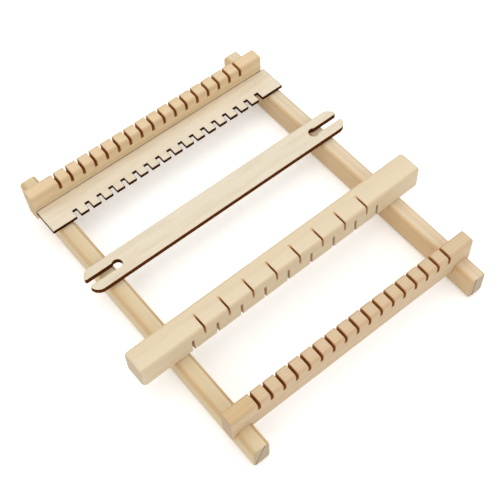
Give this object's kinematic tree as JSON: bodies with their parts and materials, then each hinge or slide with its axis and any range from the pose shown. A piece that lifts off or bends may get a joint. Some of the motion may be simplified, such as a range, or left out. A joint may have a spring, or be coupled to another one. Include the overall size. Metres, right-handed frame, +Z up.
{
  "type": "tapestry loom",
  "caption": "Small wooden frame loom for tapestry weaving: two rails carry kerfed warp beams, with a kerfed heddle bar, a comb and a slotted stick shuttle lying across them.",
  "frame": {"origin": "middle of the whole object's outline on the table that the rails stand on", "axes": "+X from the left rail to the right rail, +Y from the front beam to the back beam along the rails, +Z up"},
  "size_m": [0.2652, 0.2936, 0.0443],
  "materials": {
    "pine_rail": "planed bare pine, satin",
    "pine_beam": "planed bare pale pine, satin",
    "limewood": "sanded bare limewood, satin",
    "birch_plywood": "bare birch plywood faces with scorched cut edges, matt",
    "zinc_steel": "bright zinc plating, semi-gloss"
  },
  "bodies": {
    "frame": {"left_rail": "pine_rail", "right_rail": "pine_rail", "front_beam": "pine_beam", "back_beam": "pine_beam", "front_left_screw": "zinc_steel", "front_right_screw": "zinc_steel", "back_left_screw": "zinc_steel", "back_right_screw": "zinc_steel"},
    "heddle": {"heddle_bar": "limewood"},
    "beater": {"comb": "birch_plywood"},
    "weft_carrier": {"shuttle": "birch_plywood"}
  },
  "joints": [
    {"name": "heddle_turn", "type": "hinge", "parent": "frame", "child": "heddle", "pos_m": [-0.0001, -0.04075, 0.0247], "axis": [0.9999, 0.0122, 0], "range_deg": [-90, 0]},
    {"name": "comb_beat", "type": "slide", "parent": "frame", "child": "beater", "axis": [0, -1, 0], "range_m": [0, 0.041]},
    {"name": "shuttle_pass", "type": "slide", "parent": "frame", "child": "weft_carrier", "axis": [1, 0, 0], "range_m": [-0.27, 0.26]}
  ]
}
